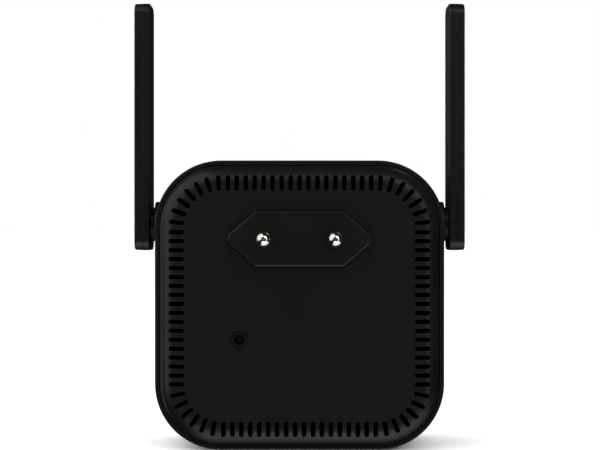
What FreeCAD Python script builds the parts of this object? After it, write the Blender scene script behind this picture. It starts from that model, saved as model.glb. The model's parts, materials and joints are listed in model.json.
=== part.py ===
import FreeCAD, Part
import math
import os
import re

import Sketcher
from FreeCAD import Vector

# A plug-in wifi range extender: a rounded square case with a two-pin mains plug on its back and an
# antenna on a hinge at each side. Millimetres. +Z is up, the front faces -Y and the pins point along +Y.
# The origin is the middle of the face that meets the wall socket, between the pins.
# Most depths are counted from that face towards the front, so a depth of 5 is the plane y = -5.

SIZES = [
    # The case
    ("case_width", 78.7, "case, side to side"),
    ("case_height", 78.7, "case, bottom to top"),
    ("case_depth", 39.1, "case, back face to front face"),
    ("case_corner", 18.0, "corner radius of the case's outline"),
    ("case_drop", 18.1, "from the pins' level down to the middle of the case"),
    ("case_wall", 2.2, "side wall of the front shell"),
    ("front_wall", 2.0, "front wall of the front shell"),
    ("front_round", 4.5, "radius round the front edge, outside"),
    ("rim_round", 0.35, "radius round the shell's back rim"),
    ("rim_wall", 1.25, "wall of the rim outside the cover"),
    ("rim_height", 2.5, "depth of the seat that the cover drops into"),
    ("seam_gap", 0.15, "gap between the rim and the cover"),
    ("cover_wall", 2.0, "wall of the rear cover"),
    ("cover_round", 5.2, "radius of the rear cover's shoulder"),
    # The vent slots, spaced evenly along a rounded square
    ("slot_count", 97, "vent slots"),
    ("slot_width", 1.25, "width of a slot"),
    ("slot_length", 4.2, "length of a slot"),
    ("slot_edge", 4.15, "from the case's outline to the slots' outer ends"),
    ("slot_corner", 10.3, "corner radius of the line that the slots stand on"),
    ("slot_root", 0.4, "how far a slot reaches inside that line"),
    # The plug
    ("plug_proud", 2.0, "plug face beyond the back of the case"),
    ("plug_width", 38.7, "plug block, tip to tip"),
    ("plug_height", 14.9, "plug block, flat to flat"),
    ("plug_flat", 23.6, "length of the block's flat sides"),
    ("plug_tip_round", 2.1, "radius round the block's tips"),
    ("plug_corner", 1.4, "radius round the ends of its flat sides"),
    ("plug_edge", 0.5, "radius round the plug face"),
    ("plug_flange", 1.6, "flange round the block, behind the cover"),
    ("flange_thickness", 2.0, "thickness of that flange"),
    ("plug_core_width", 29.0, "block behind its flange, side to side"),
    ("plug_core_height", 11.0, "block behind its flange, bottom to top"),
    ("plug_depth", 12.0, "whole depth of the block"),
    ("plug_fit", 0.1, "gap round the block in the cover"),
    ("pin_spacing", 18.5, "pin centre to pin centre"),
    ("pin_radius", 2.0, "radius of a pin's bare end"),
    ("pin_length", 19.0, "pin beyond the plug face"),
    ("pin_core", 1.5, "radius of a pin under its sleeve"),
    ("pin_tail", 0.6, "pin behind the block"),
    ("sleeve_radius", 1.82, "outside radius of a pin's insulating sleeve"),
    ("sleeve_length", 10.0, "sleeve beyond the plug face"),
    ("sleeve_root", 1.5, "sleeve sunk in the block"),
    ("strap_width", 5.0, "width of a pin terminal"),
    ("strap_thickness", 0.5, "sheet thickness of a pin terminal"),
    ("strap_reach", 7.0, "terminal, from its pin up to its solder leg"),
    # The reset switch
    ("reset_x", 16.2, "reset hole, sideways from the middle"),
    ("reset_drop", 27.2, "reset hole, below the pins"),
    ("reset_dish", 2.7, "radius of the dish round the reset hole"),
    ("reset_dish_depth", 1.0, "depth of that dish"),
    ("reset_hole", 1.4, "radius of the reset hole"),
    ("switch_size", 6.0, "reset switch, each side"),
    ("switch_height", 3.6, "reset switch, above the power board"),
    ("stem_radius", 1.1, "radius of the switch's stem"),
    ("stem_fit", 0.1, "gap round the stem in the switch"),
    ("stem_reach", 4.6, "stem beyond the switch"),
    ("stem_foot", 1.8, "stem inside the switch"),
    ("stem_travel", 0.3, "how far the stem can be pressed"),
    # The antennas and their hinges
    ("hinge_height", 3.9, "hinge axis above the pins"),
    ("hinge_depth", 21.5, "hinge axis, depth"),
    ("boss_radius", 6.3, "radius of the hinge boss on the case"),
    ("boss_proud", 0.95, "boss beyond the side of the case"),
    ("boss_inside", 0.8, "boss inside the side wall"),
    ("boss_edge", 0.4, "radius round the boss's outer edge"),
    ("axle_radius", 4.0, "radius of the hinge axle in its bore"),
    ("axle_fit", 0.08, "running gap round the axle"),
    ("hinge_gap", 0.1, "end gap between parts that turn on each other"),
    ("neck_radius", 4.7, "radius of the neck between boss and antenna"),
    ("neck_length", 1.1, "boss to antenna"),
    ("axle_bore", 1.9, "radius of the lead's way through the axle"),
    ("axle_flange", 5.9, "radius of the axle's flange in the antenna"),
    ("axle_flange_thickness", 1.0, "thickness of that flange"),
    ("axle_end", 1.0, "axle beyond its clip"),
    ("washer_radius", 5.6, "outer radius of the friction washer"),
    ("washer_thickness", 0.6, "thickness of the friction washer"),
    ("clip_radius", 5.5, "outer radius of the clip"),
    ("clip_thickness", 0.8, "thickness of the clip"),
    ("clip_groove", 3.2, "radius at the bottom of the clip's groove"),
    ("clip_mouth", 5.4, "opening of the clip"),
    ("antenna_width", 14.0, "antenna, front to back"),
    ("antenna_above", 61.3, "antenna above its hinge"),
    ("antenna_below", 7.2, "antenna below its hinge"),
    ("antenna_corner", 3.0, "corner radius of the antenna's flat sides"),
    ("antenna_inner_part", 1.8, "thickness of the antenna's inner half"),
    ("antenna_outer_part", 2.5, "thickness of the antenna's outer half"),
    ("antenna_draft", 2.5, "draft of the outer half, degrees"),
    ("antenna_round", 0.4, "radius round the antenna's outer face"),
    ("antenna_inner_round", 0.4, "radius round the antenna's inner face"),
    ("antenna_wall", 1.0, "walls of the antenna"),
    ("radiator_width", 9.0, "radiator strip, width"),
    ("radiator_thickness", 0.8, "radiator strip, thickness"),
    ("radiator_above", 52.0, "radiator strip above the hinge"),
    ("radiator_below", 4.0, "radiator strip below the hinge"),
    ("lead_radius", 0.7, "radius of an antenna lead"),
    ("lead_gap", 0.3, "from the end of a lead to the radiator that turns past it"),
    ("lead_straight", 9.0, "lead inside the case before its first bend"),
    ("lead_sweep", 7.0, "sideways run of the lead as it drops to the main board"),
    ("lead_lie", 1.2, "middle of the lead above the main board"),
    ("hinge_room", 0.5, "gap in the shell round the washer and clip"),
    # The boards
    ("terminal_height", 2.0, "from the plug block to the power board"),
    ("power_board_thickness", 1.6, "power board, thickness"),
    ("power_board_side", 8.1, "gap from the power board's sides to the shell"),
    ("power_board_end", 9.1, "gap from the power board's top and bottom to the shell"),
    ("power_post_edge", 4.0, "cover's board posts, in from the board's top and bottom"),
    ("main_post_length", 5.9, "shell's board posts, from the front wall to the main board"),
    ("main_board_thickness", 1.2, "main board, thickness"),
    ("main_board_side", 5.1, "gap from the main board's sides to the shell"),
    ("main_board_end", 6.1, "gap from the main board's top and bottom to the shell"),
    ("main_post_edge", 6.0, "shell's board posts, in from the board's top and bottom"),
    ("post_side", 5.0, "board posts, in from their board's sides"),
    ("board_corner", 6.0, "corner radius of both boards"),
    ("post_radius", 2.75, "radius of a board post"),
    ("screw_radius", 1.0, "radius of a board screw's shank"),
    ("screw_clearance", 0.15, "gap round a screw in its board"),
    ("screw_length", 6.0, "board screw under its head"),
    ("screw_head", 1.9, "radius of a screw's head"),
    ("screw_head_height", 1.3, "height of a screw's head"),
    ("screw_recess", 0.5, "radius of the drive recess in a screw's head"),
    # The light pipe
    ("light_edge", 5.1, "indicator light, up from the main board's bottom edge"),
    ("light_radius", 1.5, "radius of the light pipe"),
    ("light_flange", 2.5, "radius of the light pipe's flange"),
    ("light_flange_thickness", 1.0, "thickness of that flange"),
    ("light_gap", 0.3, "from the lamp to the light pipe"),
    ("lamp_size", 1.6, "indicator lamp, each side"),
    ("lamp_height", 0.8, "indicator lamp above the main board"),
    # The transformer and the bulk capacitors
    ("transformer_x", 2.0, "middle of the transformer, sideways"),
    ("transformer_drop", 21.0, "middle of the transformer, below the pins"),
    ("core_width", 19.0, "transformer core, side to side"),
    ("tall_room", 2.4, "from the tallest parts on the power board to the main board"),
    ("core_height", 17.0, "transformer core, bottom to top"),
    ("core_leg", 2.5, "thickness of the core round its winding"),
    ("winding_height", 14.0, "transformer winding, bottom to top"),
    ("bulk_radius", 5.0, "radius of a bulk capacitor"),
    ("bulk_x", 20.0, "bulk capacitors, sideways"),
    ("bulk_drop", 4.0, "upper bulk capacitor, below the pins"),
    ("bulk_pitch", 11.5, "one bulk capacitor to the next"),
    # The pin header between the boards
    ("link_x", 12.0, "middle of the header, sideways"),
    ("link_edge", 4.1, "header, up from the power board's bottom edge"),
    ("link_ways", 4, "pins in the header"),
    ("link_pitch", 2.54, "header pin to pin"),
    ("link_pin", 0.64, "side of a header pin"),
    ("link_block", 2.5, "height and thickness of the header's block"),
    # The radio parts on the main board
    ("chip_drop", 18.0, "middle of the wifi chip, below the pins"),
    ("chip_size", 12.0, "wifi chip, each side"),
    ("chip_height", 1.0, "wifi chip above the board"),
    ("can_size", 30.0, "shield can, each side"),
    ("can_height", 2.4, "shield can above the board"),
    ("can_sheet", 0.3, "sheet thickness of the can"),
    ("spreader_side", 10.0, "heat spreader, in from the main board's sides"),
    ("spreader_end", 12.0, "heat spreader, in from the main board's top and bottom"),
    ("spreader_thickness", 1.2, "heat spreader, thickness"),
    ("socket_size", 3.0, "aerial socket, each side"),
    ("socket_height", 2.1, "aerial socket above the board"),
    ("socket_x", 10.5, "aerial socket, sideways"),
    ("socket_rise", 4.1, "aerial socket above the hinge axis"),
]

# Plain blocks on the boards: name, (width, depth, height), middle (x, z), board, side of the board
BLOCKS = [
    ("bridge_rectifier", (8.0, 2.6, 6.5), (2.0, 4.0), "power", "front"),
    ("optocoupler", (4.6, 3.5, 6.5), (-12.0, -33.0), "power", "front"),
    ("power_controller", (4.9, 1.6, 6.0), (-8.0, -28.0), "power", "back"),
    ("memory_chip", (8.0, 0.9, 6.0), (8.0, -33.0), "main", "back"),
    ("clock_crystal", (3.2, 0.8, 2.5), (-8.0, -34.0), "main", "back"),
]

# Round parts lying along X on the power board: name, radius, length, middle (x, z)
LYING = [
    ("fuse", 1.8, 9.5, (-13.0, 6.5)),
    ("safety_capacitor", 4.0, 3.5, (18.0, -18.0)),
    ("output_diode", 2.6, 9.0, (3.0, -37.0)),
]

# Round parts standing on the power board: name, radius, room left under the main board, middle (x, z)
STANDING = [
    ("noise_choke", 4.5, 5.4, (13.0, -3.0)),
    ("output_capacitor", 4.0, 4.4, (17.0, -34.0)),
]

for part, extent, spot, _, _ in BLOCKS:
    for word, amount in zip(("width", "depth", "height", "x", "z"), extent + spot):
        SIZES.append(("%s_%s" % (part, word), amount, "%s, %s" % (part, word)))
for part, radius, length, spot in LYING:
    for word, amount in zip(("radius", "length", "x", "z"), (radius, length) + spot):
        SIZES.append(("%s_%s" % (part, word), amount, "%s, %s" % (part, word)))
for part, radius, room, spot in STANDING:
    for word, amount in zip(("radius", "room", "x", "z"), (radius, room) + spot):
        SIZES.append(("%s_%s" % (part, word), amount, "%s, %s" % (part, word)))

DERIVED = [
    ("front_depth", "plug_proud + case_depth", "front face"),
    ("rim_depth", "plug_proud + cover_round", "back rim of the front shell"),
    ("seat_depth", "plug_proud + cover_round + rim_height", "seat under the rear cover"),
    ("cover_inset", "rim_wall + seam_gap", "case's outline to the cover's outline"),
    ("cavity_width", "case_width - 2 * case_wall", "inside of the front shell"),
    ("cavity_height", "case_height - 2 * case_wall", "inside of the front shell"),
    ("boss_face", "case_width / 2 + boss_proud", "outer face of a hinge boss"),
    ("boss_back", "case_width / 2 - case_wall - boss_inside", "inner face of a hinge boss"),
    ("antenna_face", "boss_face + neck_length", "inner face of the antenna"),
    ("antenna_split", "antenna_face + antenna_inner_part", "where the antenna's halves meet"),
    ("antenna_back", "antenna_split + antenna_outer_part", "outer face of the antenna"),
    ("antenna_length", "antenna_above + antenna_below", "whole length of the antenna"),
    ("antenna_middle", "hinge_height + (antenna_above - antenna_below) / 2", "its middle height"),
    ("radiator_face", "antenna_back - antenna_wall - radiator_thickness", "radiator's inner face"),
    ("clip_outside", "boss_back - hinge_gap - washer_thickness", "clip's outer face"),
    ("power_board_depth", "plug_depth + terminal_height", "power board's back face"),
    ("power_board_front", "power_board_depth + power_board_thickness", "power board's front face"),
    ("power_board_width", "cavity_width - 2 * power_board_side", "power board, side to side"),
    ("power_board_height", "cavity_height - 2 * power_board_end", "power board, bottom to top"),
    ("power_post_x", "power_board_width / 2 - post_side", "cover's posts, sideways"),
    ("power_post_rise", "power_board_height / 2 - power_post_edge", "cover's posts, up and down"),
    ("main_board_front", "front_depth - front_wall - main_post_length", "main board's front face"),
    ("main_board_depth", "main_board_front - main_board_thickness", "main board's back face"),
    ("main_board_width", "cavity_width - 2 * main_board_side", "main board, side to side"),
    ("main_board_height", "cavity_height - 2 * main_board_end", "main board, bottom to top"),
    ("main_post_x", "main_board_width / 2 - post_side", "shell's posts, sideways"),
    ("main_post_rise", "main_board_height / 2 - main_post_edge", "shell's posts, up and down"),
    ("board_bay", "main_board_depth - power_board_front", "space between the boards"),
    ("tall_part", "board_bay - tall_room", "tallest parts on the power board"),
    ("light_drop", "case_drop + main_board_height / 2 - light_edge", "lamp, below the pins"),
    ("link_drop", "case_drop + power_board_height / 2 - link_edge", "header, below the pins"),
]

doc = FreeCAD.newDocument("range_extender")
sheet = doc.addObject("Spreadsheet::Sheet", "sizes")
workings = doc.addObject("Spreadsheet::Sheet", "workings")
NAMES = [row[0] for row in SIZES + DERIVED]
finished = []


def fill_sheet():
    """Write the driving sizes as plain numbers, and what follows from them as formulas."""
    for row, (name, amount, meaning) in enumerate(SIZES, 1):
        sheet.set("A%d" % row, meaning)
        sheet.set("B%d" % row, str(amount))
        sheet.setAlias("B%d" % row, name)
    for row, (name, formula, meaning) in enumerate(DERIVED, len(SIZES) + 1):
        sheet.set("A%d" % row, meaning)
        sheet.set("B%d" % row, "=" + formula)
        sheet.setAlias("B%d" % row, name)
    doc.recompute()


def linked(formula):
    """A formula in the sheet's names, as another object of the document writes it."""
    return re.sub(r"[a-z_]+", lambda m: "sizes." + m[0] if m[0] in NAMES else m[0], str(formula))


def number(formula):
    """The value of a formula now, worked out in a sheet that nothing depends on."""
    workings.set("A1", "=" + linked(formula))
    workings.recompute()
    return float(workings.get("A1"))


def bind(item, prop, formula):
    """Tie a property to a formula written in the sheet's names."""
    item.setExpression(prop, linked(formula))


def keep(item, label):
    """Name a finished sub-part."""
    item.Label = label
    finished.append(item)
    return item


# Sketches ---------------------------------------------------------------------------------------

def new_body(label):
    return keep(doc.addObject("PartDesign::Body", label), label)


def new_sketch(body, role, offset, across="0", along="0"):
    """A sketch on an origin plane of the body, moved along the plane's normal by `offset`."""
    plane = next(item for item in body.Origin.OriginFeatures if item.Role == role)
    sketch = body.newObject("Sketcher::SketchObject", body.Name + "_sketch")
    sketch.AttachmentSupport = [(plane, "")]
    sketch.MapMode = "FlatFace"
    bind(sketch, "AttachmentOffset.Base.x", across)
    bind(sketch, "AttachmentOffset.Base.y", along)
    bind(sketch, "AttachmentOffset.Base.z", offset)
    return sketch


def fix_distance(sketch, kind, ends, formula):
    """Add a sketch dimension that follows a formula."""
    index = sketch.addConstraint(Sketcher.Constraint(kind, *ends, number(formula)))
    bind(sketch, "Constraints[%d]" % index, formula)


def fix_point(sketch, edge, end, x, y):
    fix_distance(sketch, "DistanceX", (-1, 1, edge, end), x)
    fix_distance(sketch, "DistanceY", (-1, 1, edge, end), y)


def circle(sketch, x, y, radius):
    middle = Vector(number(x), number(y), 0)
    edge = sketch.addGeometry(Part.Circle(middle, Vector(0, 0, 1), number(radius)), False)
    fix_distance(sketch, "Radius", (edge,), radius)
    fix_point(sketch, edge, 3, x, y)


def outline(sketch, corners):
    """A closed outline, anticlockwise. A corner with a third value starts an arc of that radius."""
    spots = [Vector(number(corner[0]), number(corner[1]), 0) for corner in corners]
    first = sketch.GeometryCount
    for index, corner in enumerate(corners):
        here = spots[index]
        there = spots[(index + 1) % len(corners)]
        if len(corner) == 3:
            sketch.addGeometry(arc_between(here, there, number(corner[2])), False)
            fix_distance(sketch, "Radius", (first + index,), corner[2])
        else:
            sketch.addGeometry(Part.LineSegment(here, there), False)
    for index, corner in enumerate(corners):
        following = first + (index + 1) % len(corners)
        sketch.addConstraint(Sketcher.Constraint("Coincident", first + index, 2, following, 1))
        fix_point(sketch, first + index, 1, corner[0], corner[1])


def arc_between(start, end, radius):
    """The shorter anticlockwise arc of a given radius from one point to another."""
    chord = end - start
    height = math.sqrt(max(radius ** 2 - (chord.Length / 2) ** 2, 0))
    left = Vector(-chord.y, chord.x, 0).normalize()
    middle = start + chord * 0.5 + left * height
    first = math.atan2(start.y - middle.y, start.x - middle.x)
    last = math.atan2(end.y - middle.y, end.x - middle.x)
    if last < first:
        last += 2 * math.pi
    return Part.ArcOfCircle(Part.Circle(middle, Vector(0, 0, 1), radius), first, last)


def rounded_rectangle(sketch, width, height, radius, x="0", y="0"):
    """A rectangle with round corners about (x, y)."""
    wide = number(width) / 2
    high = number(height) / 2
    turn = number(radius)
    middle = Vector(number(x), number(y), 0)
    flats = [(wide - turn, high), (wide, turn - high), (turn - wide, -high), (-wide, high - turn)]
    ends = [(turn - wide, high), (wide, high - turn), (wide - turn, -high), (-wide, turn - high)]
    first = sketch.GeometryCount
    for side in range(4):
        start = middle + Vector(*ends[side])
        end = middle + Vector(*flats[side])
        sketch.addGeometry(Part.LineSegment(start, end), False)
        centre_x = (wide - turn) * (1 if side < 2 else -1)
        centre_y = (high - turn) * (1 if side in (0, 3) else -1)
        centre = middle + Vector(centre_x, centre_y)
        corner = Part.Circle(centre, Vector(0, 0, 1), turn)
        angle = math.pi / 2 * (1 - side)
        sketch.addGeometry(Part.ArcOfCircle(corner, angle - math.pi / 2, angle), False)
    for side in range(4):
        line = first + 2 * side
        arc = line + 1
        following = first + (2 * side + 2) % 8
        sketch.addConstraint(Sketcher.Constraint("Tangent", line, 2, arc, 2))
        sketch.addConstraint(Sketcher.Constraint("Tangent", arc, 1, following, 1))
        sketch.addConstraint(Sketcher.Constraint("Vertical" if side % 2 else "Horizontal", line))
    for arc in (3, 5, 7):
        sketch.addConstraint(Sketcher.Constraint("Equal", first + 1, first + arc))
    fix_distance(sketch, "Radius", (first + 1,), radius)
    fix_distance(sketch, "DistanceX", (first + 6, 1, first + 2, 1), width)
    fix_distance(sketch, "DistanceY", (first + 4, 1, first, 1), height)
    fix_distance(sketch, "DistanceX", (-1, 1, first + 2, 1), "%s + (%s) / 2" % (x, width))
    fix_distance(sketch, "DistanceY", (-1, 1, first, 1), "%s + (%s) / 2" % (y, height))


def plug_outline(sketch, grow):
    """The plug block's six-sided outline with round tips, grown outwards by `grow`."""
    turn = "(plug_tip_round + %s)" % grow
    flat = plug_flat_end(grow)
    side = "plug_height / 2 + %s" % grow
    tip = "plug_width / 2 + %s - 0.2929 * %s" % (grow, turn)
    blunt = "0.7071 * %s" % turn
    right = [(flat, "-(%s)" % side), (tip, "-(%s)" % blunt, turn), (tip, blunt), (flat, side)]
    left = [("-(%s)" % flat, side), ("-(%s)" % tip, blunt, turn)]
    ends = [("-(%s)" % tip, "-(%s)" % blunt), ("-(%s)" % flat, "-(%s)" % side)]
    outline(sketch, right + left + ends)


def plug_flat_end(grow):
    """How far a flat side of the plug block reaches from the middle."""
    return "plug_flat / 2 + 0.4142 * (%s)" % grow


# Features ---------------------------------------------------------------------------------------

def pad(body, sketch, length, reversed_way=False, draft=None):
    """Grow the sketch along its plane's normal."""
    feature = body.newObject("PartDesign::Pad", body.Name + "_pad")
    feature.Profile = sketch
    feature.Reversed = reversed_way
    bind(feature, "Length", length)
    if draft:
        bind(feature, "TaperAngle", "-(%s)" % draft)
    doc.recompute()
    return feature


def pocket(body, sketch, length, reversed_way=True):
    """Cut the sketch along its plane's normal, and make sure that it cut something."""
    before = body.Shape.Volume
    feature = body.newObject("PartDesign::Pocket", body.Name + "_pocket")
    feature.Profile = sketch
    feature.Reversed = reversed_way
    bind(feature, "Length", length)
    doc.recompute()
    if not body.Shape.Volume < before - 1e-6:
        raise ValueError("%s cut nothing" % feature.Name)
    return feature


def turned(label, role, across, along, offset, corners, axis):
    """A body turned from a half-outline about one axis of its sketch."""
    body = new_body(label)
    sketch = new_sketch(body, role, offset, across, along)
    outline(sketch, corners)
    feature = body.newObject("PartDesign::Revolution", label + "_turn")
    feature.Profile = sketch
    feature.ReferenceAxis = (sketch, [axis])
    feature.Angle = 360
    doc.recompute()
    return body


def fillet(body, radius, chosen):
    """Round the edges of the body so far that `chosen` picks by their middle and box."""
    base = body.Tip
    names = []
    for index, edge in enumerate(base.Shape.Edges, 1):
        if chosen(edge.BoundBox):
            names.append("Edge%d" % index)
    feature = body.newObject("PartDesign::Fillet", body.Name + "_round")
    feature.Base = (base, names)
    bind(feature, "Radius", radius)
    doc.recompute()
    return feature


def at_depth(formula):
    """Picks the edges lying in the plane of one depth."""
    y = -number(formula)

    def chosen(box):
        return abs(box.YMin - y) < 1e-4 and abs(box.YMax - y) < 1e-4
    return chosen


def plug_corners(grow):
    """Picks the edges along the plug's depth where its flat sides end."""
    x = number(plug_flat_end(grow))
    return lambda box: box.XLength + box.ZLength < 1e-4 and abs(abs(box.XMin) - x) < 1e-3


def at_x(formula):
    """Picks edges lying in one plane across the case."""
    x = number(formula)
    return lambda box: abs(box.XMin - x) < 1e-4 and abs(box.XMax - x) < 1e-4


# Primitives -------------------------------------------------------------------------------------

def place(item, x, y, z):
    bind(item, "Placement.Base.x", x)
    bind(item, "Placement.Base.y", y)
    bind(item, "Placement.Base.z", z)


def box(name, size, middle, back):
    """A block: (width, depth, height), its middle (x, z) and the depth of its back face."""
    item = doc.addObject("Part::Box", name)
    width, depth, height = size
    bind(item, "Length", width)
    bind(item, "Width", depth)
    bind(item, "Height", height)
    x = "%s - (%s) / 2" % (middle[0], width)
    z = "%s - (%s) / 2" % (middle[1], height)
    place(item, x, "-(%s) - (%s)" % (back, depth), z)
    return item


def cylinder(name, radius, length, start, axis):
    """A cylinder from `start` (x, depth, z) along +X ("x") or towards the front ("depth")."""
    item = doc.addObject("Part::Cylinder", name)
    bind(item, "Radius", radius)
    bind(item, "Height", length)
    turn = (Vector(0, 1, 0), 90) if axis == "x" else (Vector(1, 0, 0), 90)
    item.Placement.Rotation = FreeCAD.Rotation(*turn)
    place(item, start[0], "-(%s)" % start[1], start[2])
    return item


def cut(name, base, tool):
    item = doc.addObject("Part::Cut", name)
    item.Base = base
    item.Tool = tool
    return item


def fuse(name, pieces):
    item = doc.addObject("Part::MultiFuse", name)
    item.Shapes = pieces
    return item


def group(name, pieces):
    """Separate solids kept in one sub-part."""
    item = doc.addObject("Part::Compound", name)
    item.Links = pieces
    return item


def mirrored(item, label):
    """The left-hand copy of a right-hand sub-part."""
    copy = doc.addObject("Part::Mirroring", label)
    copy.Source = item
    copy.Normal = Vector(1, 0, 0)
    return keep(copy, label)


# Case -------------------------------------------------------------------------------------------

def case_outline(sketch, inset):
    rounded_rectangle(sketch, "case_width - 2 * (%s)" % inset, "case_height - 2 * (%s)" % inset,
                      "case_corner - (%s)" % inset, "0", "-case_drop")


def post_circles(sketch, x, rise, radius):
    """Four circles at the corners of a rectangle about the middle of the case."""
    for side in ("", "-"):
        for level in ("+", "-"):
            circle(sketch, side + x, "-case_drop %s %s" % (level, rise), radius)


def make_front_shell():
    body = new_body("front_shell")
    outside = new_sketch(body, "XZ_Plane", "rim_depth")
    case_outline(outside, "0")
    pad(body, outside, "front_depth - rim_depth")
    fillet(body, "front_round", at_depth("front_depth"))
    fillet(body, "rim_round", at_depth("rim_depth"))
    inside = new_sketch(body, "XZ_Plane", "rim_depth")
    case_outline(inside, "case_wall")
    pocket(body, inside, "front_depth - front_wall - rim_depth")
    fillet(body, "front_round - front_wall", at_depth("front_depth - front_wall"))
    seat = new_sketch(body, "XZ_Plane", "rim_depth")
    case_outline(seat, "rim_wall")
    pocket(body, seat, "rim_height")
    add_hinge_bosses(body)
    posts = new_sketch(body, "XZ_Plane", "main_board_front")
    post_circles(posts, "main_post_x", "main_post_rise", "post_radius")
    pad(body, posts, "front_depth - front_wall / 2 - main_board_front")
    pilots = new_sketch(body, "XZ_Plane", "main_board_front")
    post_circles(pilots, "main_post_x", "main_post_rise", "screw_radius")
    pocket(body, pilots, "screw_length - main_board_thickness")
    window = new_sketch(body, "XZ_Plane", "front_depth - front_wall")
    circle(window, "0", "-light_drop", "light_radius")
    pocket(body, window, "front_wall")


def add_hinge_bosses(body):
    """A round boss with a bore on the right side, mirrored to the left."""
    disc = new_sketch(body, "YZ_Plane", "boss_back")
    circle(disc, "-hinge_depth", "hinge_height", "boss_radius")
    boss = pad(body, disc, "boss_face - boss_back")
    hole = new_sketch(body, "YZ_Plane", "boss_back")
    circle(hole, "-hinge_depth", "hinge_height", "axle_radius + axle_fit")
    bore = pocket(body, hole, "boss_face - boss_back")
    spot_face = new_sketch(body, "YZ_Plane", "boss_back")
    circle(spot_face, "-hinge_depth", "hinge_height", "washer_radius + hinge_room")
    room = pocket(body, spot_face, "boss_back - clip_outside + clip_thickness + axle_end", False)
    middle = next(item for item in body.Origin.OriginFeatures if item.Role == "YZ_Plane")
    mirror = body.newObject("PartDesign::Mirrored", "front_shell_mirror")
    mirror.Originals = [boss, bore, room]
    mirror.MirrorPlane = (middle, [""])
    body.Tip = mirror
    doc.recompute()
    face = number("boss_face")
    rim = number("boss_radius")

    def outer_edge(shape_box):
        flat = abs(abs(shape_box.XMin) - face) < 1e-4 and shape_box.XLength < 1e-4
        return flat and abs(shape_box.YLength - 2 * rim) < 1e-3
    fillet(body, "boss_edge", outer_edge)


def slot_spots():
    """Middle point and direction of each slot: equal steps along a rounded square."""
    corner = number("slot_corner")
    half_width = number("case_width / 2 - slot_edge - slot_length + slot_root")
    half_height = number("case_height / 2 - slot_edge - slot_length + slot_root")
    count = int(number("slot_count"))
    across = half_width - corner
    upright = half_height - corner
    bend = corner * math.pi / 2
    length = 4 * across + 4 * upright + 4 * bend
    spots = []
    for index in range(count):
        along = index * length / count
        flip = 1 if along <= length / 2 else -1
        along = min(along, length - along)
        if along < across:
            spot, angle = (along, half_height), math.pi / 2
        elif along < across + bend:
            angle = math.pi / 2 - (along - across) / corner
            spot = (across + corner * math.cos(angle), upright + corner * math.sin(angle))
        elif along < across + bend + 2 * upright:
            spot, angle = (half_width, upright - (along - across - bend)), 0
        elif along < across + 2 * bend + 2 * upright:
            angle = -(along - across - bend - 2 * upright) / corner
            spot = (across + corner * math.cos(angle), corner * math.sin(angle) - upright)
        else:
            spot, angle = (length / 2 - along, -half_height), -math.pi / 2
        direction = Vector(flip * math.cos(angle), math.sin(angle), 0)
        spots.append((Vector(flip * spot[0], spot[1], 0), direction))
    return spots


def slot_outlines(sketch):
    """Round-ended slots standing outwards from a rounded square, as one sketch."""
    radius = number("slot_width") / 2
    drop = Vector(0, -number("case_drop"), 0)
    inner = radius - number("slot_root")
    outer = number("slot_length - slot_root") - radius
    edges = []
    for spot, direction in slot_spots():
        side = Vector(-direction.y, direction.x, 0) * radius
        low = spot + drop + direction * inner
        high = spot + drop + direction * outer
        angle = math.atan2(direction.y, direction.x)
        edges.append(Part.LineSegment(low - side, high - side))
        edges.append(arc_about(high, radius, angle - math.pi / 2))
        edges.append(Part.LineSegment(high + side, low + side))
        edges.append(arc_about(low, radius, angle + math.pi / 2))
    sketch.addGeometry(edges, False)


def arc_about(middle, radius, start):
    """Half a circle, anticlockwise from one angle."""
    return Part.ArcOfCircle(Part.Circle(middle, Vector(0, 0, 1), radius), start, start + math.pi)


def make_rear_cover():
    body = new_body("rear_cover")
    outside = new_sketch(body, "XZ_Plane", "plug_proud")
    case_outline(outside, "cover_inset")
    pad(body, outside, "seat_depth - plug_proud")
    fillet(body, "cover_round", at_depth("plug_proud"))
    inside = new_sketch(body, "XZ_Plane", "plug_proud + cover_wall")
    case_outline(inside, "cover_inset + cover_wall")
    pocket(body, inside, "seat_depth - plug_proud - cover_wall")
    fillet(body, "cover_round - cover_wall", at_depth("plug_proud + cover_wall"))
    slots = new_sketch(body, "XZ_Plane", "0")
    slot_outlines(slots)
    pocket(body, slots, "rim_depth")
    opening = new_sketch(body, "XZ_Plane", "0")
    plug_outline(opening, "plug_fit")
    pocket(body, opening, "rim_depth")
    fillet(body, "plug_corner + plug_fit", plug_corners("plug_fit"))
    dish = new_sketch(body, "XZ_Plane", "plug_proud")
    circle(dish, "reset_x", "-reset_drop", "reset_dish")
    pocket(body, dish, "reset_dish_depth")
    hole = new_sketch(body, "XZ_Plane", "plug_proud")
    circle(hole, "reset_x", "-reset_drop", "reset_hole")
    pocket(body, hole, "cover_wall")
    posts = new_sketch(body, "XZ_Plane", "plug_proud + cover_wall / 2")
    post_circles(posts, "power_post_x", "power_post_rise", "post_radius")
    pad(body, posts, "power_board_depth - plug_proud - cover_wall / 2")
    pilot_depth = "screw_length - power_board_thickness"
    pilots = new_sketch(body, "XZ_Plane", "power_board_depth - (%s)" % pilot_depth)
    post_circles(pilots, "power_post_x", "power_post_rise", "screw_radius")
    pocket(body, pilots, pilot_depth)


# Plug -------------------------------------------------------------------------------------------

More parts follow.
